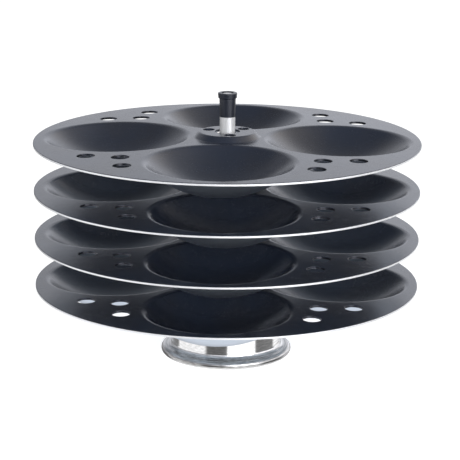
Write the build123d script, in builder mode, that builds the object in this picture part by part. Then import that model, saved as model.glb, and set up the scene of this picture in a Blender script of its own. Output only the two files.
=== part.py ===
"""Four-tier idli stand: pressed non-stick plates on a central rod, with a knob and a spun base.

Millimetres. +Z is up along the rod, and the origin is the middle of the base's underside.
"""
from build123d import *
from math import acos, asin, cos, degrees, pi, sin, sqrt
import os

# Stack of plates
tier_count = 4
tier_pitch = 25.0
# How far each plate has been turned on the rod, from the lowest to the highest, in degrees
tier_turns = (-0.9, 0.4, 2.1, 0.0)

# Plate: one pressed sheet, whose land stands a little higher in the middle than at the rim
plate_diameter = 200.0
plate_sheet = 1.2
plate_crown = 1.6
plate_edge_round = 0.35

# Cups: a ball-shaped bowl under a rounded lip
cup_count = 4
cup_depth = 15.3
cup_lip_radius = 4.0
cup_rim_land = 3.8
cup_web = 2.9
# How far the cylinders that cut and trim the cups reach past a cup's floor
cup_overrun = 5.0

# Raised boss in the middle of a plate
boss_rise = 2.95
boss_land = 1.2
boss_slope_run = 2.4
boss_foot_radius = 1.4
boss_crown_inner_radius = 0.3
centre_hole_diameter = 12.8

# Vent holes in the boss
vent_count = 3
vent_seat_gap = 0.1
vent_margin = 1.1
vent_turn = 40.5

# Steam holes, in groups of three between the cups
steam_hole_diameter = 9.2
steam_rim_margin = 17.8
steam_cup_gap = 4.6
steam_row_gap = 11.6

# Rod, with a threaded foot under its shoulder
rod_diameter = 8.0
rod_reveal = 7.7
rod_end_chamfer = 0.4
foot_diameter = 6.0
foot_clearance = 0.2
thread_out = 1.5

# Knob and the screw that holds it on the rod
knob_height = 12.5
knob_flange_diameter = 10.0
knob_flange_draft = 0.2
knob_flange_height = 2.75
knob_neck_top_diameter = 8.5
knob_neck_foot_diameter = 8.0
knob_edge_round = 0.4
knob_flange_under_round = 0.25
knob_recess_diameter = 6.4
knob_recess_depth = 1.8
screw_diameter = 4.0
screw_length = 20.0
screw_head_diameter = 5.8
screw_head_height = 1.3
screw_head_round = 0.5
screw_slot_width = 0.9
screw_slot_depth = 0.6
screw_clearance = 0.05
screw_hole_spare = 1.5

# Spacer tubes on the rod
spacer_play = 0.5
spacer_seat = 0.9
lowest_spacer_length = 12.4
spacer_chamfer = 0.3

# Base: a spun cup, mouth down, whose rim turns out and is rolled under in a half circle
base_height = 30.0
base_drum_diameter = 56.8
base_rim_width = 5.9
base_sheet = 1.4
base_flare_radius = 2.5
base_shoulder_radius = 6.0
base_roll_radius = 2.1
base_roll_lip = 1.3

# Washer and nut under the base's top
washer_diameter = 14.0
washer_height = 1.2
nut_sides = 6
nut_across_flats = 10.0
nut_height = 5.0
nut_chamfer = 0.5

# Derived: the crown is part of a large ball, so these give its radius and its fall from the middle
plate_radius = plate_diameter / 2
crown_radius = (plate_radius**2 + plate_crown**2) / (2 * plate_crown)


def crown_fall(distance):
    """How far the crowned land has fallen at a distance from its middle."""
    return crown_radius - sqrt(crown_radius**2 - distance**2)


# Derived: the cups fill the ring between the rim and the boss, four alike with a web between neighbours
cup_half_angle_sine = sin(pi / cup_count)
cup_mouth_radius = (2 * cup_half_angle_sine * (plate_radius - cup_rim_land) - cup_web) / (
    2 * (1 + cup_half_angle_sine)
)
cup_circle_radius = plate_radius - cup_rim_land - cup_mouth_radius
cup_tilt = degrees(asin(cup_circle_radius / crown_radius))
# The lip leaves the crowned land at a tangent, and the bowl meets the lip at a tangent
cup_mouth_angle = asin(cup_mouth_radius / crown_radius)
lip_centre_radius = (crown_radius - cup_lip_radius) * sin(cup_mouth_angle)
lip_centre_fall = crown_radius - (crown_radius - cup_lip_radius) * cos(cup_mouth_angle)
cup_bowl_radius = (lip_centre_radius**2 + (lip_centre_fall - cup_depth) ** 2 - cup_lip_radius**2) / (
    2 * (cup_lip_radius + cup_depth - lip_centre_fall)
)
cup_wall_angle = asin(lip_centre_radius / (cup_bowl_radius + cup_lip_radius))

boss_base_radius = cup_circle_radius - cup_mouth_radius - boss_land
boss_top_radius = boss_base_radius - boss_slope_run
boss_level = plate_crown + boss_rise
# The foot of the boss lies on the crown's tangent where the cups' lips begin
boss_join_radius = boss_base_radius + boss_land
boss_join_level = plate_crown - crown_fall(boss_join_radius)
boss_foot_level = boss_join_level + boss_land * boss_join_radius / (crown_radius - crown_fall(boss_join_radius))

steam_outer_radius = plate_radius - steam_rim_margin
steam_inner_radius = steam_outer_radius - steam_row_gap
between_cups = 180 / cup_count
# The outer holes of a group keep a set distance from the cup beside them
steam_cup_distance = cup_mouth_radius + steam_cup_gap + steam_hole_diameter / 2
steam_cup_cosine = (cup_circle_radius**2 + steam_outer_radius**2 - steam_cup_distance**2) / (
    2 * cup_circle_radius * steam_outer_radius
)
steam_half_angle = between_cups - degrees(acos(steam_cup_cosine))

# Derived: the spacers pass over the knob, and the plates rest on their end faces
spacer_bore = knob_flange_diameter + 2 * spacer_play
spacer_diameter = centre_hole_diameter + 2 * spacer_seat
spacer_length = tier_pitch - plate_sheet

# Derived: the vent holes fill the ring between the spacer's seat and the boss's slope
vent_diameter = boss_top_radius - vent_margin - spacer_diameter / 2 - vent_seat_gap
vent_circle_radius = boss_top_radius - vent_margin - vent_diameter / 2

# Derived: heights from the floor
lowest_boss_under = base_height + lowest_spacer_length
boss_under_levels = [lowest_boss_under + tier_pitch * tier for tier in range(tier_count)]
rim_levels = [level + plate_sheet - boss_level for level in boss_under_levels]
rod_top = boss_under_levels[-1] + plate_sheet + rod_reveal
knob_top = rod_top + knob_height
recess_floor = knob_top - knob_recess_depth
washer_top = base_height - base_sheet
nut_top = washer_top - washer_height
rod_foot = nut_top - nut_height - thread_out
foot_hole_diameter = foot_diameter + foot_clearance
base_rim_radius = base_drum_diameter / 2 + base_rim_width
roll_centre_radius = base_rim_radius - base_roll_radius

os.makedirs("parts", exist_ok=True)


def save(piece, name):
    """Label a piece and write it to its own file."""
    piece.part.label = name
    export_step(piece.part, f"parts/{name}.step")


def plate_blank():
    """Crowned sheet with its raised boss and centre hole, with the top of its rim at z = 0."""
    rim_angle = degrees(acos(plate_radius / crown_radius))
    join_angle = degrees(acos(boss_join_radius / crown_radius))
    with BuildPart() as blank:
        with BuildSketch(Plane.XZ):
            with BuildLine():
                CenterArc(
                    center=(0, plate_crown - crown_radius),
                    radius=crown_radius,
                    start_angle=rim_angle,
                    arc_size=join_angle - rim_angle,
                )
                FilletPolyline(
                    (boss_join_radius, boss_join_level),
                    (boss_base_radius, boss_foot_level),
                    (boss_top_radius, boss_level),
                    (centre_hole_diameter / 2, boss_level),
                    radius=(boss_foot_radius, boss_crown_inner_radius + plate_sheet),
                )
                offset(amount=plate_sheet, side=Side.LEFT)
            make_face()
        revolve(axis=Axis.Z)
        rings = blank.edges().filter_by(lambda edge: edge.is_closed)
        fillet(rings.sort_by(SortBy.RADIUS)[-1], plate_edge_round)
    return blank


def cup_bowl():
    """One cup: a rounded lip that runs tangent into a ball-shaped bowl, in a crown that peaks at z = 0."""
    # The path starts on the crown, one sheet outside the cup's mouth, and the mouth's wall then trims it
    ring_angle = plate_sheet / crown_radius
    with BuildPart() as bowl:
        with BuildSketch(Plane.XZ):
            with BuildLine():
                CenterArc(
                    center=(0, -crown_radius),
                    radius=crown_radius,
                    start_angle=degrees(pi / 2 - cup_mouth_angle - ring_angle),
                    arc_size=degrees(ring_angle),
                )
                CenterArc(
                    center=(lip_centre_radius, -lip_centre_fall),
                    radius=cup_lip_radius,
                    start_angle=degrees(pi / 2 - cup_mouth_angle),
                    arc_size=degrees(cup_mouth_angle + cup_wall_angle),
                )
                CenterArc(
                    center=(0, cup_bowl_radius - cup_depth),
                    radius=cup_bowl_radius,
                    start_angle=degrees(-pi / 2),
                    arc_size=degrees(cup_wall_angle),
                )
                offset(amount=plate_sheet, side=Side.LEFT)
            make_face()
        revolve(axis=Axis.Z)
        Cylinder(cup_mouth_radius, 2 * (cup_depth + cup_overrun), mode=Mode.INTERSECT)
    return bowl


def make_plate():
    """One plate with its cups, steam holes and vent holes, with the top of its rim at z = 0."""
    blank = plate_blank()
    bowl = cup_bowl()
    cup_place = Location((0, 0, plate_crown - crown_fall(cup_circle_radius)), (0, cup_tilt, 0))
    with BuildPart() as pressing:
        add(blank.part)
        with PolarLocations(cup_circle_radius, cup_count):
            with Locations(cup_place):
                Cylinder(cup_mouth_radius, 2 * (cup_depth + cup_overrun), mode=Mode.SUBTRACT)
        with PolarLocations(cup_circle_radius, cup_count):
            with Locations(cup_place):
                add(bowl.part)
        with Locations((0, 0, plate_crown)):
            for turn in (between_cups - steam_half_angle, between_cups + steam_half_angle):
                with PolarLocations(steam_outer_radius, cup_count, start_angle=turn):
                    Hole(steam_hole_diameter / 2, depth=plate_crown + plate_sheet)
            with PolarLocations(steam_inner_radius, cup_count, start_angle=between_cups):
                Hole(steam_hole_diameter / 2, depth=plate_crown + plate_sheet)
        with Locations((0, 0, boss_level)):
            with PolarLocations(vent_circle_radius, vent_count, start_angle=vent_turn):
                Hole(vent_diameter / 2, depth=boss_rise)
    return pressing


pressing = make_plate()

for tier in range(tier_count):
    with BuildPart() as plate:
        with Locations(Location((0, 0, rim_levels[tier]), (0, 0, tier_turns[tier]))):
            add(pressing.part)
    save(plate, f"plate_{tier_count - tier}")

# Spacer tubes: each stands on the base or on a boss and carries the boss above
for tier in range(tier_count):
    length = spacer_length if tier else lowest_spacer_length
    with BuildPart() as spacer:
        with BuildSketch(Plane.XY.offset(boss_under_levels[tier] - length)):
            Circle(spacer_diameter / 2)
            Circle(spacer_bore / 2, mode=Mode.SUBTRACT)
        extrude(amount=length)
        chamfer(spacer.edges().filter_by(GeomType.CIRCLE), spacer_chamfer)
    save(spacer, f"spacer_{tier_count - tier}")

# Base: a spun cup that stands on its rolled rim
with BuildPart() as base:
    with BuildSketch(Plane.XZ):
        with BuildLine():
            Line((roll_centre_radius - base_roll_lip, 0), (roll_centre_radius, 0))
            CenterArc(
                center=(roll_centre_radius, base_roll_radius), radius=base_roll_radius, start_angle=-90, arc_size=180
            )
            FilletPolyline(
                (roll_centre_radius, 2 * base_roll_radius),
                (base_drum_diameter / 2, 2 * base_roll_radius),
                (base_drum_diameter / 2, base_height),
                (foot_hole_diameter / 2, base_height),
                radius=(base_flare_radius, base_shoulder_radius),
            )
            offset(amount=base_sheet, side=Side.LEFT)
        make_face()
    revolve(axis=Axis.Z)
save(base, "base")

# Rod: its shoulder stands on the base, and its threaded foot goes through
with BuildPart() as rod:
    with BuildSketch(Plane.XY.offset(base_height)):
        Circle(rod_diameter / 2)
    extrude(amount=rod_top - base_height)
    with BuildSketch(Plane.XY.offset(base_height)):
        Circle(foot_diameter / 2)
    extrude(amount=rod_foot - base_height)
    chamfer(rod.edges().sort_by(Axis.Z)[0], rod_end_chamfer)
    with Locations((0, 0, rod_top)):
        Hole(screw_diameter / 2 + screw_clearance, depth=screw_length - recess_floor + rod_top + screw_hole_spare)
save(rod, "rod")

# Washer and nut that clamp the base to the rod's shoulder
with BuildPart() as base_washer:
    with BuildSketch(Plane.XY.offset(nut_top)):
        Circle(washer_diameter / 2)
        Circle(foot_hole_diameter / 2, mode=Mode.SUBTRACT)
    extrude(amount=washer_height)
save(base_washer, "base_washer")

with BuildPart() as base_nut:
    with BuildSketch(Plane.XY.offset(nut_top - nut_height)):
        Circle(nut_across_flats / 2 / cos(pi / nut_sides))
    extrude(amount=nut_height)
    chamfer(base_nut.edges().filter_by(GeomType.CIRCLE), nut_chamfer)
    with BuildSketch(Plane.XY.offset(nut_top - nut_height)):
        RegularPolygon(nut_across_flats / 2, nut_sides, major_radius=False)
        Circle(foot_hole_diameter / 2, mode=Mode.SUBTRACT)
    extrude(amount=nut_height, mode=Mode.INTERSECT)
save(base_nut, "base_nut")

# Knob: a tapered neck and a flange with a recess for the screw's head
with BuildPart() as knob:
    flange_under = knob_top - knob_flange_height
    screw_hole_radius = screw_diameter / 2 + screw_clearance
    with BuildSketch(Plane.XZ):
        with BuildLine():
            Polyline(
                (screw_hole_radius, rod_top),
                (knob_neck_foot_diameter / 2, rod_top),
                (knob_neck_top_diameter / 2, flange_under),
                (knob_flange_diameter / 2 - knob_flange_draft, flange_under),
                (knob_flange_diameter / 2, knob_top),
                (knob_recess_diameter / 2, knob_top),
                (knob_recess_diameter / 2, recess_floor),
                (screw_hole_radius, recess_floor),
                close=True,
            )
        make_face()
    revolve(axis=Axis.Z)
    circles = knob.edges().filter_by(GeomType.CIRCLE).group_by(Axis.Z)
    lip = circles[-1].sort_by(SortBy.RADIUS)[-1]
    fillet(lip, knob_edge_round)
    fillet(circles[1], knob_flange_under_round)
save(knob, "knob")

# Screw: a low round head in the recess, with a slot
with BuildPart() as knob_screw:
    with BuildSketch(Plane.XY.offset(recess_floor)):
        Circle(screw_head_diameter / 2)
    extrude(amount=screw_head_height)
    fillet(knob_screw.edges().sort_by(Axis.Z)[-1], screw_head_round)
    with BuildSketch(Plane.XY.offset(recess_floor)):
        Circle(screw_diameter / 2)
    extrude(amount=-screw_length)
    with BuildSketch(Plane.XY.offset(recess_floor + screw_head_height)):
        Rectangle(screw_head_diameter, screw_slot_width)
    extrude(amount=-screw_slot_depth, mode=Mode.SUBTRACT)
save(knob_screw, "knob_screw")
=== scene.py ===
"""Idli stand: four pressed non-stick plates on a rod, with a knob and a spun base.

Metres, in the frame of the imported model. +Z is up along the rod, and the floor is at z = 0.
"""
import math

import bmesh
import bpy
from mathutils import Matrix, Vector


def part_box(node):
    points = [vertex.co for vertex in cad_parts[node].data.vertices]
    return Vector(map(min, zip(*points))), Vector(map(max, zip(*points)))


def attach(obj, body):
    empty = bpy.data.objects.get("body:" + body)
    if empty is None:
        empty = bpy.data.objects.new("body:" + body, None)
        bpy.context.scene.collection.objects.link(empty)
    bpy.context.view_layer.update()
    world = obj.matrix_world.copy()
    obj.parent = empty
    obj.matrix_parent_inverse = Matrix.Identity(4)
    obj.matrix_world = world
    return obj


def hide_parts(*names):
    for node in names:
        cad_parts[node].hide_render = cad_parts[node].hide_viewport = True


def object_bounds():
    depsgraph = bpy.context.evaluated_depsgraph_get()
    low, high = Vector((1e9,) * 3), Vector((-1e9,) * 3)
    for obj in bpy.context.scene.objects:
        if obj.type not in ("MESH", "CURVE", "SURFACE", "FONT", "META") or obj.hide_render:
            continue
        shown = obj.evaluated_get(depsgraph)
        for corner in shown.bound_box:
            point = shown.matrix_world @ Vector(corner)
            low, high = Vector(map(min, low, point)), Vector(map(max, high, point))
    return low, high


bl_info = {
    "name": "Idli Stand",
    "version": (1, 0, 0),
    "blender": (4, 5, 0),
    "location": "3D View > Sidebar > Idli Stand",
    "description": "Dresses a tiered idli stand with pressed plates, a spun base, a rod and a knob",
    "category": "Object",
}

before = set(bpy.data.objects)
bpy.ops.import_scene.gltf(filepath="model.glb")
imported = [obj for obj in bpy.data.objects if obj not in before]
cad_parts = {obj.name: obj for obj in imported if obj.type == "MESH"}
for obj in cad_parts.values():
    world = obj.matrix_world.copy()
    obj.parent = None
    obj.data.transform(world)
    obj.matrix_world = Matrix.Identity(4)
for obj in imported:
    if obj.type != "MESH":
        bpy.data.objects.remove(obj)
cad_low, cad_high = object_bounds()

MM = 0.001
NEAR = 1e-9
FULL_TURN = 2 * math.pi
# Between these heights, from its rolled rim to the foot of its drum, the base's colour is darkened as
# painted shade, and its face is rougher
NECK_LOW = 0.8 * MM
NECK_HIGH = 6.6 * MM
plate_low, plate_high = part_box("plate_1")
plate_names = sorted(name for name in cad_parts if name.startswith("plate_"))
spacer_names = sorted(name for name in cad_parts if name.startswith("spacer_"))

# Faces of a plate carry one of these numbers, and each number takes its own material
COATED, CUT, BARE, PUNCHED = range(4)


class PlateSettings(bpy.types.PropertyGroup):
    """Sizes of one pressed plate."""

    diameter: bpy.props.FloatProperty(
        name="Diameter",
        description="Across the plate's cut edge",
        default=plate_high.x - plate_low.x,
        unit="LENGTH",
    )
    sheet: bpy.props.FloatProperty(
        name="Sheet", description="Thickness of the sheet", default=1.2 * MM, unit="LENGTH"
    )
    crown: bpy.props.FloatProperty(
        name="Crown",
        description="How much higher the land would stand in the middle than at the rim",
        default=1.6 * MM,
        unit="LENGTH",
    )
    edge_round: bpy.props.FloatProperty(
        name="Edge round", description="Rounding of the rim's top edge", default=0.35 * MM, unit="LENGTH"
    )
    cup_count: bpy.props.IntProperty(name="Cups", description="Cups in one plate", default=4, min=2)
    cup_depth: bpy.props.FloatProperty(
        name="Cup depth", description="From the land to a cup's floor", default=15.3 * MM, unit="LENGTH"
    )
    cup_lip_radius: bpy.props.FloatProperty(
        name="Cup lip", description="Rounding of a cup's lip", default=4.5 * MM, unit="LENGTH"
    )
    cup_rim_land: bpy.props.FloatProperty(
        name="Rim land",
        description="Flat sheet between a cup and the rim",
        default=3.8 * MM,
        unit="LENGTH",
    )
    cup_web: bpy.props.FloatProperty(
        name="Cup web", description="Flat sheet between two cups", default=2.9 * MM, unit="LENGTH"
    )
    boss_rise: bpy.props.FloatProperty(
        name="Boss rise",
        description="Height of the boss over the land",
        default=2.95 * MM,
        unit="LENGTH",
    )
    boss_land: bpy.props.FloatProperty(
        name="Boss land",
        description="Flat sheet between a cup and the boss",
        default=1.2 * MM,
        unit="LENGTH",
    )
    boss_slope_run: bpy.props.FloatProperty(
        name="Boss slope", description="Width of the boss's slope", default=2.4 * MM, unit="LENGTH"
    )
    boss_foot_radius: bpy.props.FloatProperty(
        name="Boss foot", description="Rounding at the boss's foot", default=1.4 * MM, unit="LENGTH"
    )
    boss_crown_inner_radius: bpy.props.FloatProperty(
        name="Boss crown", description="Rounding under the boss's crown", default=0.3 * MM, unit="LENGTH"
    )
    centre_hole_diameter: bpy.props.FloatProperty(
        name="Centre hole", description="Hole for the rod", default=12.8 * MM, unit="LENGTH"
    )
    vent_count: bpy.props.IntProperty(
        name="Vents",
        description="Vent holes in the boss",
        default=3,
        min=1,
    )
    vent_diameter: bpy.props.FloatProperty(
        name="Vent hole", description="Diameter of a vent hole", default=6.1 * MM, unit="LENGTH"
    )
    vent_circle_radius: bpy.props.FloatProperty(
        name="Vent circle",
        description="From the rod's axis to a vent hole",
        default=10.45 * MM,
        unit="LENGTH",
    )
    vent_turn: bpy.props.FloatProperty(
        name="Vent turn",
        description="Angle of the first vent hole",
        default=math.radians(40.5),
        subtype="ANGLE",
    )
    steam_hole_diameter: bpy.props.FloatProperty(
        name="Steam hole", description="Diameter of a steam hole", default=9.2 * MM, unit="LENGTH"
    )
    steam_rim_margin: bpy.props.FloatProperty(
        name="Steam rim margin",
        description="From the cut edge to the outer steam holes' circle",
        default=17.8 * MM,
        unit="LENGTH",
    )
    steam_cup_gap: bpy.props.FloatProperty(
        name="Steam cup gap",
        description="Between a cup and the steam hole beside it",
        default=4.6 * MM,
        unit="LENGTH",
    )
    steam_row_gap: bpy.props.FloatProperty(
        name="Steam row gap",
        description="Between the circles of the outer and inner steam holes",
        default=11.6 * MM,
        unit="LENGTH",
    )
    hole_round: bpy.props.FloatProperty(
        name="Hole round",
        description="Rounding of a punched hole's top edge",
        default=0.2 * MM,
        unit="LENGTH",
    )
    under_round: bpy.props.FloatProperty(
        name="Under round",
        description="Rounding of a hole's lower edge",
        default=0.1 * MM,
        unit="LENGTH",
    )
    turns: bpy.props.FloatVectorProperty(
        name="Turns",
        description="How far each plate stands turned about the rod, from the top plate down",
        default=[math.radians(turn) for turn in (0.0, 2.1, 0.4, -0.9)],
        size=4,
        unit="ROTATION",
    )
    cup_sides: bpy.props.IntProperty(
        name="Cup sides",
        description="Facets round a cup",
        default=96,
        min=3,
    )
    boss_sides: bpy.props.IntProperty(
        name="Boss sides",
        description="Facets round the boss",
        default=72,
        min=3,
    )
    hole_sides: bpy.props.IntProperty(
        name="Hole sides",
        description="Facets round a small hole",
        default=36,
        min=3,
    )
    rim_sides: bpy.props.IntProperty(
        name="Rim sides",
        description="Facets round the rim",
        default=192,
        min=3,
    )
    support: bpy.props.FloatProperty(
        name="Support ring",
        description="Narrow flat ring that keeps the shading of the land even",
        default=0.08 * MM,
        unit="LENGTH",
    )


class FinishSettings(bpy.types.PropertyGroup):
    """Colours of the finishes."""

    coat: bpy.props.FloatVectorProperty(
        name="Coat",
        description="Non-stick coat",
        default=(0.018, 0.025, 0.044),
        subtype="COLOR",
        size=3,
    )
    coat_warm: bpy.props.FloatVectorProperty(
        name="Coat, warm",
        description="Warmer patches of the non-stick coat",
        default=(0.024, 0.027, 0.038),
        subtype="COLOR",
        size=3,
    )
    sheet: bpy.props.FloatVectorProperty(
        name="Sheet",
        description="Uncoated side of the plates",
        default=(0.64, 0.71, 0.80),
        subtype="COLOR",
        size=3,
    )
    edge: bpy.props.FloatVectorProperty(
        name="Edge",
        description="Sheared edge of the plates",
        default=(0.92, 0.93, 0.95),
        subtype="COLOR",
        size=3,
    )
    punched: bpy.props.FloatVectorProperty(
        name="Punched wall",
        description="Walls of the steam and vent holes",
        default=(0.075, 0.075, 0.085),
        subtype="COLOR",
        size=3,
    )
    aluminium: bpy.props.FloatVectorProperty(
        name="Aluminium",
        description="Spacers, rod and the screw's head",
        default=(0.93, 0.935, 0.945),
        subtype="COLOR",
        size=3,
    )
    steel: bpy.props.FloatVectorProperty(
        name="Steel",
        description="Plated washer and nut",
        default=(0.74, 0.745, 0.76),
        subtype="COLOR",
        size=3,
    )
    spun: bpy.props.FloatVectorProperty(
        name="Spun aluminium",
        description="Buffed face of the base",
        default=(0.94, 0.93, 0.91),
        subtype="COLOR",
        size=3,
    )
    # Colour of the painted shade in the hollow of the base's neck, also used for the dark streaks in its
    # rings
    tarnish: bpy.props.FloatVectorProperty(
        name="Tarnish",
        description="Buffing dirt in the rings and the neck of the base",
        default=(0.17, 0.165, 0.155),
        subtype="COLOR",
        size=3,
    )
    plastic: bpy.props.FloatVectorProperty(
        name="Plastic",
        description="Moulded knob",
        default=(0.016, 0.019, 0.029),
        subtype="COLOR",
        size=3,
    )


class StageSettings(bpy.types.PropertyGroup):
    """Camera, lamps and floor."""

    camera_distance: bpy.props.FloatProperty(
        name="Camera distance", description="Level distance from the rod", default=0.9513, unit="LENGTH"
    )
    camera_side: bpy.props.FloatProperty(
        name="Camera side", description="Sideways place of the camera", default=0.0017, unit="LENGTH"
    )
    camera_height: bpy.props.FloatProperty(
        name="Camera height", description="Height over the floor", default=0.3142, unit="LENGTH"
    )
    camera_turn: bpy.props.FloatProperty(
        name="Camera turn", description="Turn about the rod", default=math.radians(3.23), subtype="ANGLE"
    )
    camera_tilt: bpy.props.FloatProperty(
        name="Camera tilt", description="Downward tilt", default=math.radians(14.63), subtype="ANGLE"
    )
    camera_roll: bpy.props.FloatProperty(
        name="Camera roll",
        description="Roll about the line of sight",
        default=math.radians(0.40),
        subtype="ANGLE",
    )
    lens: bpy.props.FloatProperty(
        name="Lens", description="Focal length on a 36 mm sensor, in millimetres", default=147.15
    )
    ambient: bpy.props.FloatProperty(
        name="Ambient", description="Level of the soft light from all around", default=0.46, min=0
    )
    top_power: bpy.props.FloatProperty(
        name="Top lamp", description="Power of the soft lamp overhead, in watts", default=3.0, min=0
    )
    side_power: bpy.props.FloatProperty(
        name="Side lamps",
        description="Power of each soft lamp at the sides, in watts",
        default=1.5,
        min=0,
    )
    front_power: bpy.props.FloatProperty(
        name="Front lamp",
        description="Power of the soft lamp low behind the camera, in watts",
        default=38.0,
        min=0,
    )
    floor_glow: bpy.props.FloatProperty(
        name="Floor glow",
        description="How far the pale floor is lifted towards white",
        default=0.7,
        min=0,
    )
    floor_size: bpy.props.FloatProperty(
        name="Floor size", description="Side of the square floor", default=12.0, unit="LENGTH"
    )


class Signal:
    """One output socket that takes part in sums. Each sum adds a Math node to its tree."""

    def __init__(self, bench, socket):
        self.bench = bench
        self.socket = socket

    def other(self, name):
        """Another output of the same node."""
        return Signal(self.bench, self.socket.node.outputs[name])

    def maths(self, operation, *values):
        return self.bench.node("ShaderNodeMath", {"operation": operation}, values)

    def __add__(self, value):
        return self.maths("ADD", self, value)

    __radd__ = __add__

    def __sub__(self, value):
        return self.maths("SUBTRACT", self, value)

    def __rsub__(self, value):
        return self.maths("SUBTRACT", value, self)

    def __mul__(self, value):
        return self.maths("MULTIPLY", self, value)

    __rmul__ = __mul__

    def __truediv__(self, value):
        return self.maths("DIVIDE", self, value)

    def __pow__(self, value):
        return self.maths("POWER", self, value)


class Bench:
    """Adds nodes to one tree: a node's type, its settings, and the values or links of its sockets."""

    def __init__(self, tree):
        self.tree = tree
        tree.nodes.clear()

    def node(self, kind, settings=None, values=(), output=0):
        made = self.tree.nodes.new(kind)
        for name, value in (settings or {}).items():
            if name == "stops":
                self.set_stops(made.color_ramp, value)
            else:
                setattr(made, name, value)
        named = values.items() if isinstance(values, dict) else enumerate(values)
        for key, value in named:
            if isinstance(value, Signal):
                self.tree.links.new(value.socket, made.inputs[key])
            else:
                made.inputs[key].default_value = value
        if not made.outputs:
            return None
        return Signal(self, made.outputs[output])

    def set_stops(self, ramp, stops):
        while len(ramp.elements) < len(stops):
            ramp.elements.new(1.0)
        for element, (place, level) in zip(ramp.elements, stops):
            element.position = place
            element.color = (level, level, level, 1.0)

    def ramp(self, value, stops):
        """A number eased through stops of place and level."""
        made = self.node("ShaderNodeValToRGB", {"stops": stops}, [value])
        made.socket.node.color_ramp.interpolation = "EASE"
        return made

    def mix(self, factor, first, second):
        """A colour between two others."""
        return self.node(
            "ShaderNodeMix",
            {"data_type": "RGBA"},
            {0: factor, 6: rgba(first), 7: rgba(second)},
            output=2,
        )

    def span(self, value, low, high, new_low, new_high):
        """A number carried from one range to another, and held at its ends."""
        return self.node("ShaderNodeMapRange", None, [value, low, high, new_low, new_high])

    def noise(self, vector, scale, detail=2.0, roughness=0.5):
        return self.node(
            "ShaderNodeTexNoise",
            None,
            {"Vector": vector, "Scale": scale, "Detail": detail, "Roughness": roughness},
        )

    def stretch(self, vector, scale):
        """A pattern's coordinates scaled by axis."""
        return self.node("ShaderNodeMapping", None, {"Vector": vector, "Scale": scale})

    def bump(self, height, distance):
        """A normal disturbed by a height pattern, whose full height is the distance."""
        return self.node("ShaderNodeBump", None, {"Height": height, "Distance": distance, "Strength": 1.0})


def rgba(colour):
    """A colour with its alpha, or the link it already is."""
    return colour if isinstance(colour, Signal) else (*colour, 1.0)


def new_material(name):
    """An empty material and the bench for its nodes."""
    material = bpy.data.materials.new(name)
    material.use_nodes = True
    return material, Bench(material.node_tree)


def finish_material(bench, values):
    """The surface shader with its socket values, joined to the output."""
    shader = bench.node("ShaderNodeBsdfPrincipled", None, values)
    bench.node("ShaderNodeOutputMaterial", None, {"Surface": shader})


def object_place(bench):
    return bench.node("ShaderNodeTexCoord", output="Object")


def ring_place(bench, around):
    """Coordinates whose pattern runs in rings round the rod: turn, height and radius."""
    place = object_place(bench)
    x = bench.node("ShaderNodeSeparateXYZ", None, [place])
    y = x.other("Y")
    z = x.other("Z")
    radius = (x * x + y * y) ** 0.5
    turn_x = x / (radius + MM) * (0.01 * around)
    return bench.node("ShaderNodeCombineXYZ", None, [turn_x, z, radius])


def coat_material(colours):
    """Non-stick coat: satin, near black, with soft mottling and a fine orange-peel skin."""
    material, bench = new_material("nonstick_coat")
    place = object_place(bench)
    cloud = bench.noise(place, 26.0, detail=3.0)
    mottle = bench.noise(place, 190.0, detail=4.0, roughness=0.62)
    peel = bench.noise(place, 900.0, detail=2.0)
    fleck = bench.noise(place, 2600.0, detail=1.0)
    tint = bench.ramp(cloud, [(0.36, 0.0), (0.66, 1.0)])
    colour = bench.mix(tint, colours.coat, colours.coat_warm)
    roughness = 0.25 + (cloud - 0.5) * 0.05 + (mottle - 0.5) * 0.08 + (fleck - 0.5) * 0.12
    skin = bench.bump(peel * 0.6 + fleck * 0.4, 0.02 * MM)
    finish_material(bench, {"Base Color": colour, "Roughness": roughness, "IOR": 1.65, "Normal": skin})
    return material


def cut_edge_material(colours):
    """Sheared edge of the sheet: bright metal with fine marks across it."""
    material, bench = new_material("cut_edge")
    marks = bench.noise(bench.stretch(object_place(bench), (1.0, 1.0, 0.08)), 2600.0, detail=2.0)
    roughness = 0.45 + (marks - 0.5) * 0.2
    skin = bench.bump(marks, 0.006 * MM)
    finish_material(
        bench,
        {"Base Color": rgba(colours.edge), "Metallic": 0.4, "Roughness": roughness, "Normal": skin},
    )
    return material


def punched_material(colours):
    """Wall of a punched hole: dull metal, browned by the edge of the coat."""
    material, bench = new_material("punched_wall")
    place = object_place(bench)
    marks = bench.noise(bench.stretch(place, (1.0, 1.0, 0.08)), 2600.0, detail=2.0)
    cloud = bench.noise(place, 500.0, detail=3.0)
    colour = bench.mix(bench.ramp(cloud, [(0.35, 0.0), (0.65, 1.0)]), colours.punched, colours.coat_warm)
    roughness = 0.30 + (marks - 0.5) * 0.2
    skin = bench.bump(marks, 0.006 * MM)
    finish_material(
        bench,
        {"Base Color": colour, "Metallic": 0.8, "Roughness": roughness, "Normal": skin},
    )
    return material


def bare_sheet_material(colours):
    """Uncoated underside: satin aluminium with the mill's rolling lines."""
    material, bench = new_material("bare_sheet")
    place = object_place(bench)
    lines = bench.noise(bench.stretch(place, (1.0, 0.012, 1.0)), 5200.0, detail=2.0)
    cloud = bench.noise(place, 34.0, detail=3.0)
    roughness = 0.33 + (lines - 0.5) * 0.1 + (cloud - 0.5) * 0.08
    skin = bench.bump(lines, 0.003 * MM)
    finish_material(
        bench,
        {"Base Color": rgba(colours.sheet), "Metallic": 0.92, "Roughness": roughness, "Normal": skin},
    )
    return material


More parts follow.
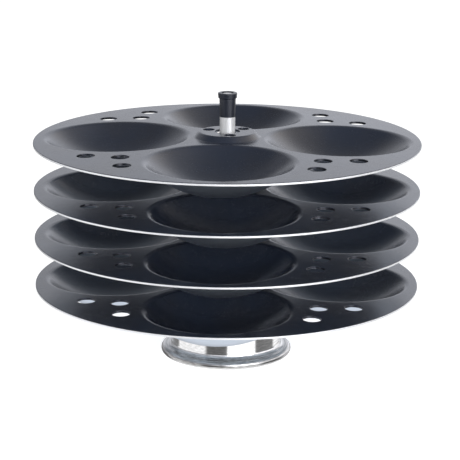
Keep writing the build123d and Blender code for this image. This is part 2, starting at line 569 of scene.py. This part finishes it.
def spun_material(colours):
    """Spun and buffed aluminium: near mirror and ringed by the tool, with painted shade darkening the
    hollow of its neck, which is also rougher.
    """
    material, bench = new_material("spun_aluminium")
    ring = ring_place(bench, around=0.3)
    fine = bench.noise(ring, 9000.0, detail=1.0)
    broad = bench.noise(ring, 900.0, detail=2.0)
    streak = bench.noise(ring_place(bench, around=0.9), 1500.0, detail=3.0)
    place = object_place(bench)
    cloud = bench.noise(place, 60.0, detail=3.0)
    z = bench.node("ShaderNodeSeparateXYZ", None, [place]).other("Z")
    neck = bench.span(z, NECK_LOW, NECK_HIGH, 0.0, 1.0)
    # Painted shade: the hollow of the neck is coloured darker, towards the dark neck colour, and made
    # rougher
    hollow = bench.ramp(neck, [(0.0, 0.0), (0.18, 1.0), (0.65, 0.8), (1.0, 0.0)])
    painted_neck_shade = hollow * (0.62 + (streak - 0.5) * 0.8)
    streaked = bench.mix(bench.span(streak, 0.35, 0.75, 0.0, 0.3), colours.spun, colours.tarnish)
    colour = bench.mix(painted_neck_shade, streaked, colours.tarnish)
    roughness = 0.08 + (fine - 0.5) * 0.08 + (cloud - 0.5) * 0.05 + hollow * 0.12
    skin = bench.bump(broad * 0.6 + fine * 0.4, 0.0025 * MM)
    finish_material(
        bench,
        {"Base Color": colour, "Metallic": 1.0, "Roughness": roughness, "Normal": skin},
    )
    return material


def drawn_material(colours):
    """Drawn satin rod, with hair lines along it."""
    material, bench = new_material("drawn_rod")
    place = object_place(bench)
    lines = bench.noise(bench.stretch(place, (1.0, 1.0, 0.01)), 4200.0, detail=2.0)
    cloud = bench.noise(place, 120.0, detail=2.0)
    roughness = 0.34 + (lines - 0.5) * 0.12 + (cloud - 0.5) * 0.06
    skin = bench.bump(lines, 0.002 * MM)
    finish_material(
        bench,
        {"Base Color": rgba(colours.aluminium), "Metallic": 0.45, "Roughness": roughness, "Normal": skin},
    )
    return material


def turned_material(name, colour, level, metal=1.0):
    """Turned metal with fine rings, for tubes and fasteners. Dull plating has a lower metal share."""
    material, bench = new_material(name)
    ring = ring_place(bench, around=0.5)
    lines = bench.noise(ring, 6000.0, detail=2.0)
    cloud = bench.noise(object_place(bench), 150.0, detail=2.0)
    roughness = level + (lines - 0.5) * 0.14 + (cloud - 0.5) * 0.08
    skin = bench.bump(lines, 0.003 * MM)
    finish_material(
        bench,
        {"Base Color": rgba(colour), "Metallic": metal, "Roughness": roughness, "Normal": skin},
    )
    return material


def plastic_material(colours):
    """Moulded phenolic: deep black gloss with a slight waviness and hair scratches."""
    material, bench = new_material("moulded_plastic")
    place = object_place(bench)
    wave = bench.noise(place, 320.0, detail=2.0)
    scratch = bench.noise(bench.stretch(place, (1.0, 1.0, 0.05)), 3000.0, detail=2.0)
    roughness = 0.30 + (wave - 0.5) * 0.08 + (scratch - 0.5) * 0.06
    skin = bench.bump(wave, 0.006 * MM)
    finish_material(
        bench,
        {"Base Color": rgba(colours.plastic), "Roughness": roughness, "IOR": 1.6, "Normal": skin},
    )
    return material


def arc(centre, radius, start, end, steps):
    """Points of an arc in a profile, as radius and height, with angles in radians."""
    points = []
    for step in range(steps + 1):
        angle = start + (end - start) * step / steps
        points.append((centre[0] + radius * math.cos(angle), centre[1] + radius * math.sin(angle)))
    return points


def ring_of(shape, radius, height, sides):
    """Vertices of one ring of a turned surface, or its pole, repeated, where it meets the axis."""
    if radius < NEAR:
        return [shape.verts.new((0.0, 0.0, height))] * sides
    ring = []
    for side in range(sides):
        angle = FULL_TURN * side / sides
        ring.append(shape.verts.new((radius * math.cos(angle), radius * math.sin(angle), height)))
    return ring


def revolve(name, skins, sides):
    """Skins turned about Z. A skin is runs of a profile, each with the number of its finish.

    The outside of a skin is on the left of its profile's walk.
    """
    shape = bmesh.new()
    layer = shape.faces.layers.int.new("finish")
    for runs in skins:
        place, ring = None, None
        for points, finish in runs:
            for point in points:
                if place and math.dist(place, point) < NEAR:
                    continue
                before, place, ring = ring, point, ring_of(shape, *point, sides)
                for side in range(sides if before else 0):
                    after = (side + 1) % sides
                    corners = [before[side], ring[side], ring[after], before[after]]
                    face = shape.faces.new(list(dict.fromkeys(corners)))
                    face[layer] = finish
                    face.smooth = True
    mesh = bpy.data.meshes.new(name)
    shape.to_mesh(mesh)
    shape.free()
    return bpy.data.objects.new(name, mesh)


class PlateShape:
    """Sizes that follow from a plate's settings, and the profiles of its features."""

    def __init__(self, settings):
        self.sheet = settings.sheet
        self.settings = settings
        self.rim_radius = settings.diameter / 2
        self.boss_level = settings.crown + settings.boss_rise
        self.crown_ball = (self.rim_radius**2 + settings.crown**2) / (2 * settings.crown)
        sine = math.sin(math.pi / settings.cup_count)
        reach = self.rim_radius - settings.cup_rim_land
        self.cup_mouth = (2 * sine * reach - settings.cup_web) / (2 * (1 + sine))
        self.cup_circle = reach - self.cup_mouth
        arc_sum = (self.cup_mouth**2 + settings.cup_depth**2) / (2 * settings.cup_depth)
        self.cup_bowl = arc_sum - settings.cup_lip_radius
        self.cup_wall = math.asin(self.cup_mouth / arc_sum)
        self.boss_base = self.cup_circle - self.cup_mouth - settings.boss_land
        self.boss_top = self.boss_base - settings.boss_slope_run
        self.boss_angle = math.atan2(settings.boss_rise, settings.boss_slope_run)
        self.steam_outer = self.rim_radius - settings.steam_rim_margin
        self.steam_inner = self.steam_outer - settings.steam_row_gap
        cup_distance = self.cup_mouth + settings.steam_cup_gap + settings.steam_hole_diameter / 2
        cosine = (self.cup_circle**2 + self.steam_outer**2 - cup_distance**2) / (
            2 * self.cup_circle * self.steam_outer
        )
        self.between_cups = math.pi / settings.cup_count
        self.steam_half_angle = self.between_cups - math.acos(cosine)
        half_tangent = math.tan(self.boss_angle / 2)
        crown_radius = settings.boss_crown_inner_radius + self.sheet
        self.crown_arc_radius = crown_radius
        self.crown_start = self.boss_top - crown_radius * half_tangent
        self.foot_end = self.boss_base + settings.boss_foot_radius * half_tangent

    def inputs(self):
        """The geometry tree's sizes: counts, circles, and the radii of the openings in the flats."""
        settings = self.settings
        support = settings.support
        ledge = settings.hole_round + support
        return {
            "Sheet": self.sheet,
            "Crown": settings.crown,
            "Crown Ball Radius": self.crown_ball,
            "Cup Count": settings.cup_count,
            "Cup Circle Radius": self.cup_circle,
            "Cup Opening": self.cup_mouth + support,
            "Cup Sides": settings.cup_sides,
            "Between Cups": self.between_cups,
            "Steam Half Angle": self.steam_half_angle,
            "Steam Outer Radius": self.steam_outer,
            "Steam Inner Radius": self.steam_inner,
            "Steam Opening": settings.steam_hole_diameter / 2 + ledge,
            "Hole Sides": settings.hole_sides,
            "Land Radius": self.rim_radius - settings.edge_round - support,
            "Rim Sides": settings.rim_sides,
            "Boss Rise": settings.boss_rise,
            "Boss Sides": settings.boss_sides,
            "Boss Foot Opening": self.foot_end + support,
            "Boss Crown Opening": self.crown_start - support,
            "Centre Opening": settings.centre_hole_diameter / 2 + ledge,
            "Vent Count": settings.vent_count,
            "Vent Circle Radius": settings.vent_circle_radius,
            "Vent Turn": settings.vent_turn,
            "Vent Opening": settings.vent_diameter / 2 + ledge,
        }

    def cup(self):
        """Both sides of a cup, from its floor out to the land and back."""
        settings = self.settings
        mouth = self.cup_mouth
        lip = settings.cup_lip_radius
        outer = mouth + settings.support
        low = self.cup_bowl - settings.cup_depth
        up, down = math.pi / 2, -math.pi / 2
        inside = arc((0.0, low), self.cup_bowl, down, down + self.cup_wall, 26)
        inside += arc((mouth, -lip), lip, up + self.cup_wall, up, 10) + [(outer, 0.0)]
        under = [(outer, -self.sheet)]
        under += arc((mouth, -lip), lip - self.sheet, up, up + self.cup_wall, 8)
        under += arc((0.0, low), self.cup_bowl + self.sheet, down + self.cup_wall, down, 20)
        return [[(inside, COATED)], [(under, BARE)]]

    def boss(self):
        """Both sides of the boss's slope, between the crown's flat and the land."""
        settings = self.settings
        support = settings.support
        rise = settings.boss_rise
        angle = self.boss_angle
        foot = settings.boss_foot_radius
        crown = self.crown_arc_radius
        up, down = math.pi / 2, -math.pi / 2
        crown_centre = (self.crown_start, rise - crown)
        foot_centre = (self.foot_end, foot)
        top = [(self.crown_start - support, rise)]
        top += arc(crown_centre, crown, up, up - angle, 8)
        top += arc(foot_centre, foot, down - angle, down, 8) + [(self.foot_end + support, 0.0)]
        under = [(self.foot_end + support, -self.sheet)]
        under += arc(foot_centre, foot + self.sheet, down, down - angle, 8)
        under += arc(crown_centre, crown - self.sheet, up - angle, up, 4)
        under += [(self.crown_start - support, rise - self.sheet)]
        return [[(top, COATED)], [(under, BARE)]]

    def collar(self, diameter, wall_finish):
        """The wall of a punched hole, with its coat drawn over the top edge."""
        radius = diameter / 2
        top_round = self.settings.hole_round
        under_round = self.settings.under_round
        support = self.settings.support
        sheet = self.sheet
        under = [(radius + top_round + support, -sheet)]
        left = math.pi
        under += arc((radius + under_round, under_round - sheet), under_round, 1.5 * left, left, 3)
        wall = [(radius, under_round - sheet), (radius, -top_round)]
        over = arc((radius + top_round, -top_round), top_round, left, left / 2, 5)
        over += [(radius + top_round + support, 0.0)]
        return [[(under, BARE), (wall, wall_finish), (over, COATED)]]

    def rim(self):
        """The plate's edge: the coat turns over the top corner and stops at the sheared face."""
        settings = self.settings
        edge = settings.edge_round
        low_edge = edge / 2
        radius = self.rim_radius
        sheet = self.sheet
        over = [(radius - edge - settings.support, 0.0)]
        over += arc((radius - edge, -edge), edge, math.pi / 2, math.pi / 12, 5)
        face = arc((radius - edge, -edge), edge, math.pi / 12, 0.0, 1)
        face += arc((radius - low_edge, low_edge - sheet), low_edge, 0.0, -math.pi / 2, 4)
        under = [(radius - low_edge, -sheet), (radius - edge - settings.support, -sheet)]
        return [[(over, COATED), (face, CUT), (under, BARE)]]


def plate_materials(colours):
    """The finishes of a plate, under the names of the geometry tree's inputs."""
    return {
        "Coat": coat_material(colours),
        "Cut Edge": cut_edge_material(colours),
        "Bare Sheet": bare_sheet_material(colours),
        "Punched Wall": punched_material(colours),
    }


def link_all(objects):
    for item in objects:
        bpy.context.scene.collection.objects.link(item)


def add_input(tree, name, kind, value):
    """A named input of a geometry tree, remembered with the value that the modifier will set."""
    socket = tree.interface.new_socket(name=name, in_out="INPUT", socket_type=kind)
    return socket.identifier, value


def plate_tree(values):
    """Geometry tree of one plate: fills the flats between openings and sets a feature in each opening."""
    tree = bpy.data.node_groups.new("Pressed plate", "GeometryNodeTree")
    kinds = {bool: "Bool", int: "Int", float: "Float"}
    chosen = {}
    tree.interface.new_socket(name="Geometry", in_out="INPUT", socket_type="NodeSocketGeometry")
    for name, value in values.items():
        kind = kinds.get(type(value)) or type(value).__name__
        identifier, value = add_input(tree, name, f"NodeSocket{kind}", value)
        chosen[identifier] = value
    tree.interface.new_socket(name="Geometry", in_out="OUTPUT", socket_type="NodeSocketGeometry")
    bench = Bench(tree)
    given = bench.node("NodeGroupInput")

    def spots(count, radius, turn=0.0, height=0.0):
        ring = bench.node("GeometryNodeMeshCircle", None, {"Vertices": count, "Radius": radius})
        angle = bench.node("ShaderNodeCombineXYZ", None, [0.0, 0.0, turn])
        place = bench.node("ShaderNodeCombineXYZ", None, [0.0, 0.0, height])
        return bench.node(
            "GeometryNodeTransform", None, {"Geometry": ring, "Rotation": angle, "Translation": place}
        )

    def joined(parts):
        join = bench.tree.nodes.new("GeometryNodeJoinGeometry")
        for part in parts:
            bench.tree.links.new(part.socket, join.inputs[0])
        return Signal(bench, join.outputs[0])

    def placed(points, shape):
        return bench.node("GeometryNodeInstanceOnPoints", None, {"Points": points, "Instance": shape})

    def opening(sides, radius):
        return bench.node("GeometryNodeCurvePrimitiveCircle", None, {"Resolution": sides, "Radius": radius})

    def master(name):
        return bench.node("GeometryNodeObjectInfo", None, {"Object": given.other(name)}, output="Geometry")

    def marked(flat, finish):
        return bench.node(
            "GeometryNodeStoreNamedAttribute",
            {"data_type": "INT", "domain": "FACE"},
            {"Geometry": flat, "Name": "finish", "Value": finish},
        )

    def both_sides(outlines, height):
        """A flat on the coated side and its twin on the bare side."""
        real = bench.node("GeometryNodeRealizeInstances", None, [joined(outlines)])
        flat = bench.node("GeometryNodeFillCurve", None, [real])
        top_place = bench.node("ShaderNodeCombineXYZ", None, [0.0, 0.0, height])
        low_place = bench.node("ShaderNodeCombineXYZ", None, [0.0, 0.0, height - given.other("Sheet")])
        top = bench.node("GeometryNodeTransform", None, {"Geometry": flat, "Translation": top_place})
        low = bench.node("GeometryNodeTransform", None, {"Geometry": flat, "Translation": low_place})
        low = bench.node("GeometryNodeFlipFaces", None, [low])
        return [marked(top, COATED), marked(low, BARE)]

    cups = spots(given.other("Cup Count"), given.other("Cup Circle Radius"))
    between = given.other("Between Cups")
    half = given.other("Steam Half Angle")
    outer = given.other("Steam Outer Radius")
    steam = joined(
        [
            spots(given.other("Cup Count"), outer, between - half),
            spots(given.other("Cup Count"), outer, between + half),
            spots(given.other("Cup Count"), given.other("Steam Inner Radius"), between),
        ]
    )
    rise = given.other("Boss Rise")
    vents = spots(given.other("Vent Count"), given.other("Vent Circle Radius"), given.other("Vent Turn"))
    raised = bench.node("ShaderNodeCombineXYZ", None, [0.0, 0.0, rise])
    crown_parts = joined([placed(vents, master("Vent Collar")), master("Centre Collar")])
    crown_parts = bench.node(
        "GeometryNodeTransform", None, {"Geometry": crown_parts, "Translation": raised}
    )
    land = both_sides(
        [
            opening(given.other("Rim Sides"), given.other("Land Radius")),
            placed(cups, opening(given.other("Cup Sides"), given.other("Cup Opening"))),
            placed(steam, opening(given.other("Hole Sides"), given.other("Steam Opening"))),
            opening(given.other("Boss Sides"), given.other("Boss Foot Opening")),
        ],
        0.0,
    )
    crown = both_sides(
        [
            opening(given.other("Boss Sides"), given.other("Boss Crown Opening")),
            placed(vents, opening(given.other("Hole Sides"), given.other("Vent Opening"))),
            opening(given.other("Boss Sides"), given.other("Centre Opening")),
        ],
        rise,
    )
    features = [
        placed(cups, master("Cup")),
        placed(steam, master("Steam Collar")),
        master("Boss"),
        master("Rim"),
        crown_parts,
    ]
    real = bench.node("GeometryNodeRealizeInstances", None, [joined(land + crown + features)])
    whole = bench.node("GeometryNodeMergeByDistance", None, {"Geometry": real, "Distance": 0.001 * MM})
    x = bench.node("ShaderNodeSeparateXYZ", None, [bench.node("GeometryNodeInputPosition")])
    y = x.other("Y")
    ball = given.other("Crown Ball Radius")
    distance_squared = x * x + y * y
    fall = distance_squared / (ball + (ball * ball - distance_squared) ** 0.5)
    lift = bench.node("ShaderNodeCombineXYZ", None, [0.0, 0.0, given.other("Crown") - fall])
    crowned = bench.node("GeometryNodeSetPosition", None, {"Geometry": whole, "Offset": lift})
    shown = bench.node("GeometryNodeSetShadeSmooth", None, {"Geometry": crowned})
    finish = bench.node("GeometryNodeInputNamedAttribute", {"data_type": "INT"}, {"Name": "finish"})
    for number, name in enumerate(("Coat", "Cut Edge", "Bare Sheet", "Punched Wall")):
        chosen_faces = bench.node(
            "FunctionNodeCompare",
            {"data_type": "INT", "operation": "EQUAL"},
            {2: finish, 3: number},
        )
        shown = bench.node(
            "GeometryNodeSetMaterial",
            None,
            {"Geometry": shown, "Selection": chosen_faces, "Material": given.other(name)},
        )
    bench.node("NodeGroupOutput", None, [shown])
    return tree, chosen


def baked(holder):
    """The plain mesh that an object's modifiers give."""
    graph = bpy.context.evaluated_depsgraph_get()
    return bpy.data.meshes.new_from_object(holder.evaluated_get(graph), depsgraph=graph)


def dress(node, material):
    """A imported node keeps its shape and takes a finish."""
    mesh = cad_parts[node].data
    if not mesh.materials:
        mesh.materials.append(material)
    for number in range(len(mesh.materials)):
        mesh.materials[number] = material


class IDLI_OT_plates(bpy.types.Operator):
    """Press the plates: cups, steam holes, boss and vents"""

    bl_idname = "idli.plates"
    bl_label = "Plates"

    def execute(self, context):
        settings = context.scene.idli_plate
        shape = PlateShape(settings)
        masters = {
            "Cup": revolve("cup", shape.cup(), settings.cup_sides),
            "Boss": revolve("boss", shape.boss(), settings.boss_sides),
            "Steam Collar": revolve(
                "steam_collar", shape.collar(settings.steam_hole_diameter, PUNCHED), settings.hole_sides
            ),
            "Vent Collar": revolve(
                "vent_collar", shape.collar(settings.vent_diameter, COATED), settings.hole_sides
            ),
            "Centre Collar": revolve(
                "centre_collar", shape.collar(settings.centre_hole_diameter, COATED), settings.boss_sides
            ),
            "Rim": revolve("rim", shape.rim(), settings.rim_sides),
        }
        holder = bpy.data.objects.new("plate_holder", bpy.data.meshes.new("plate_holder"))
        link_all([holder, *masters.values()])
        finishes = plate_materials(context.scene.idli_finish)
        tree, values = plate_tree({**shape.inputs(), **masters, **finishes})
        pressing = holder.modifiers.new("Pressed plate", "NODES")
        pressing.node_group = tree
        for identifier, value in values.items():
            pressing[identifier] = value
        blank = baked(holder)
        holder.modifiers.clear()
        for number, name in enumerate(plate_names):
            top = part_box(name)[1].z
            mesh = blank.copy()
            turn = Matrix.Rotation(settings.turns[number], 4, "Z")
            mesh.transform(Matrix.Translation((0.0, 0.0, top - shape.boss_level)) @ turn)
            plate = bpy.data.objects.new(f"pressed_{name}", mesh)
            link_all([plate])
            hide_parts(name)
            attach(plate, name)
        for item in [holder, *masters.values()]:
            bpy.data.objects.remove(item)
        return {"FINISHED"}


class IDLI_OT_spacers(bpy.types.Operator):
    """Finish the tubes that hold the plates apart"""

    bl_idname = "idli.spacers"
    bl_label = "Spacers"

    def execute(self, context):
        colours = context.scene.idli_finish
        material = turned_material("spacer_tube", colours.aluminium, 0.26)
        for name in spacer_names:
            dress(name, material)
        return {"FINISHED"}


class IDLI_OT_rod(bpy.types.Operator):
    """Finish the rod and the washer and nut that hold it in the base"""

    bl_idname = "idli.rod"
    bl_label = "Rod"

    def execute(self, context):
        colours = context.scene.idli_finish
        dress("rod", drawn_material(colours))
        fastener = turned_material("plated_fastener", colours.steel, 0.3)
        dress("base_washer", fastener)
        dress("base_nut", fastener)
        return {"FINISHED"}


class IDLI_OT_knob(bpy.types.Operator):
    """Finish the knob and its screw"""

    bl_idname = "idli.knob"
    bl_label = "Knob"

    def execute(self, context):
        colours = context.scene.idli_finish
        dress("knob", plastic_material(colours))
        dress("knob_screw", turned_material("screw_head", colours.aluminium, 0.4, metal=0.35))
        return {"FINISHED"}


class IDLI_OT_base(bpy.types.Operator):
    """Finish the spun base"""

    bl_idname = "idli.base"
    bl_label = "Base"

    def execute(self, context):
        dress("base", spun_material(context.scene.idli_finish))
        return {"FINISHED"}


def lamp(name, side, power, place, target):
    """A soft square lamp that points at a place and doesn't mark reflections."""
    light = bpy.data.lights.new(name, "AREA")
    light.size = side
    light.energy = power
    item = bpy.data.objects.new(name, light)
    link_all([item])
    item.location = place
    item.rotation_euler = (Vector(target) - Vector(place)).to_track_quat("-Z", "Y").to_euler()
    item.visible_glossy = False
    return item


def seen_ray(bench):
    """One for rays from the camera and for rays that a surface reflects or lets through."""
    path = bench.node("ShaderNodeLightPath")
    total = path.other("Is Camera Ray") + path.other("Is Glossy Ray") + path.other("Is Transmission Ray")
    total.socket.node.use_clamp = True
    return total


def studio_world(context, settings):
    """Even light for matt surfaces. Reflections see a white studio, a dim ceiling and soft boxes."""
    world = bpy.data.worlds.new("studio")
    context.scene.world = world
    world.use_nodes = True
    bench = Bench(world.node_tree)
    path = bench.node("ShaderNodeLightPath")
    direction = bench.node("ShaderNodeTexCoord", output="Generated")
    x = bench.node("ShaderNodeSeparateXYZ", None, [direction])
    y = x.other("Y")
    z = x.other("Z")
    blend = {"data_type": "FLOAT"}
    # The wall behind the stand darkens towards the ceiling and towards its left end
    wall = bench.ramp(z, [(0.0, 1.0), (0.42, 0.95), (0.78, 0.24), (1.0, 0.20)])
    side = bench.ramp(x * 0.5 + 0.5, [(0.2, 0.55), (0.4, 0.93), (0.62, 1.0), (1.0, 1.0)])
    # A warm glow high on the right behind the stand
    glow = bench.span(x, 0.18, 0.62, 0.0, 1.0) * bench.span(z, 0.12, 0.5, 0.0, 1.0)
    backdrop = wall * side * bench.span(x, -0.12, 0.24, 1.06, 1.50) + glow * 0.45
    # Azimuth from the back, as a share of a full turn: the soft boxes stand left and right of the front
    azimuth = bench.node("ShaderNodeMath", {"operation": "ARCTAN2"}, [x, 0.0 - y]) / FULL_TURN + 0.5
    left_box = [(0.0, 0.30), (0.16, 0.20), (0.19, 1.0), (0.375, 1.0), (0.40, 0.14), (0.512, 0.14)]
    right_box = [(0.522, 1.0), (0.68, 1.0), (0.70, 0.14), (0.83, 0.16), (0.86, 0.75), (1.0, 0.30)]
    boxes = bench.ramp(azimuth, left_box + right_box) * bench.span(x, -0.05, 0.05, 1.08, 1.5)
    # The box at the right of the front also stands above the horizon, and is brighter there
    tall_box = bench.ramp(azimuth, [(0.515, 0.0), (0.53, 1.0), (0.66, 1.0), (0.68, 0.0)])
    backdrop = backdrop + tall_box * bench.span(z, 0.45, 0.60, 3.5, 0.0)
    # Under the boxes lies a pale floor
    low = bench.node("ShaderNodeMix", blend, {0: bench.span(z, -0.70, -0.50, 0.0, 1.0), 2: 0.95, 3: boxes})
    upper = bench.span(z, -0.03, 0.03, 0.0, 1.0)
    studio = bench.node("ShaderNodeMix", blend, {0: upper, 2: low, 3: backdrop})
    seen = bench.node("ShaderNodeMix", blend, {0: path, 2: studio, 3: 1.0})
    level = bench.node("ShaderNodeMix", blend, {0: seen_ray(bench), 2: settings.ambient, 3: seen})
    # Reflections are a little blue, more so above the horizon, and warm in the glow
    cool = path.other("Is Glossy Ray") * (0.3 + upper * 0.5)
    colour = bench.mix(cool, (1.0, 1.0, 1.0), (0.87, 0.90, 1.0))
    colour = bench.mix(cool * glow, colour, (1.0, 0.92, 0.85))
    background = bench.node("ShaderNodeBackground", None, {"Strength": level, "Color": colour})
    bench.node("ShaderNodeOutputWorld", None, {"Surface": background})


def floor_material(settings):
    """Pale floor: lifted to white for what is seen, and still dimmed by the object's shadow."""
    material, bench = new_material("floor")
    matt = bench.node("ShaderNodeBsdfDiffuse", None, {"Color": (0.8, 0.8, 0.8, 1.0)})
    glow = seen_ray(bench) * settings.floor_glow
    lift = bench.node("ShaderNodeEmission", None, {"Color": (1.0, 1.0, 1.0, 1.0), "Strength": glow})
    both = bench.node("ShaderNodeAddShader", None, [matt, lift])
    bench.node("ShaderNodeOutputMaterial", None, {"Surface": both})
    return material


class IDLI_OT_stage(bpy.types.Operator):
    """Set the floor, the lamps, the surround and the camera"""

    bl_idname = "idli.stage"
    bl_label = "Stage"

    def execute(self, context):
        settings = context.scene.idli_stage
        scene = context.scene
        scene.view_settings.view_transform = "Standard"
        half = settings.floor_size / 2
        mesh = bpy.data.meshes.new("floor")
        corners = [(x, y, 0.0) for x, y in ((-half, -half), (half, -half), (half, half), (-half, half))]
        mesh.from_pydata(corners, [], [(0, 1, 2, 3)])
        floor = bpy.data.objects.new("floor", mesh)
        mesh.materials.append(floor_material(settings))
        link_all([floor])
        floor.visible_glossy = False
        studio_world(context, settings)
        middle = (0.0, 0.0, cad_high[2] / 2)
        # The name, side, power and place of each lamp
        lamps = [
            ("top_lamp", 1.6, settings.top_power, (0.0, 0.2, 2.0)),
            ("left_lamp", 1.0, settings.side_power, (-1.6, -1.0, 0.5)),
            ("right_lamp", 1.0, settings.side_power, (1.6, -0.6, 0.5)),
            ("front_lamp", 1.2, settings.front_power, (0.5, -2.4, 0.55)),
        ]
        for name, side, power, place in lamps:
            lamp(name, side, power, place, middle)
        view = bpy.data.cameras.new("camera")
        view.lens = settings.lens
        view.sensor_width = 36.0
        view.clip_start = 0.01
        camera = bpy.data.objects.new("camera", view)
        link_all([camera])
        turn = Matrix.Rotation(settings.camera_turn, 4, "Z")
        place = Matrix.Translation(
            (settings.camera_side, -settings.camera_distance, settings.camera_height)
        )
        tilt = Matrix.Rotation(math.pi / 2 - settings.camera_tilt, 4, "X")
        roll = Matrix.Rotation(settings.camera_roll, 4, "Z")
        camera.matrix_world = turn @ place @ tilt @ roll
        scene.camera = camera
        return {"FINISHED"}


class IDLI_PT_panel(bpy.types.Panel):
    """Steps of the idli stand in the sidebar"""

    bl_idname = "IDLI_PT_panel"
    bl_label = "Idli Stand"
    bl_space_type = "VIEW_3D"
    bl_region_type = "UI"
    bl_category = "Idli Stand"

    def draw(self, context):
        for group in ("idli_plate", "idli_finish", "idli_stage"):
            box = self.layout.box()
            values = getattr(context.scene, group)
            for name in values.bl_rna.properties.keys():
                if name not in ("rna_type", "name"):
                    box.prop(values, name)
        for step in STEPS:
            self.layout.operator(step.bl_idname)


STEPS = (IDLI_OT_plates, IDLI_OT_spacers, IDLI_OT_rod, IDLI_OT_knob, IDLI_OT_base, IDLI_OT_stage)
CLASSES = (PlateSettings, FinishSettings, StageSettings, *STEPS, IDLI_PT_panel)
GROUPS = {"idli_plate": PlateSettings, "idli_finish": FinishSettings, "idli_stage": StageSettings}


def register():
    for item in CLASSES:
        bpy.utils.register_class(item)
    for name, group in GROUPS.items():
        setattr(bpy.types.Scene, name, bpy.props.PointerProperty(type=group))


def unregister():
    for name in GROUPS:
        delattr(bpy.types.Scene, name)
    for item in reversed(CLASSES):
        bpy.utils.unregister_class(item)


def main():
    register()
    bpy.ops.idli.stage()
    bpy.ops.idli.plates()
    bpy.ops.idli.spacers()
    bpy.ops.idli.rod()
    bpy.ops.idli.knob()
    bpy.ops.idli.base()


if __name__ == "__main__":
    main()
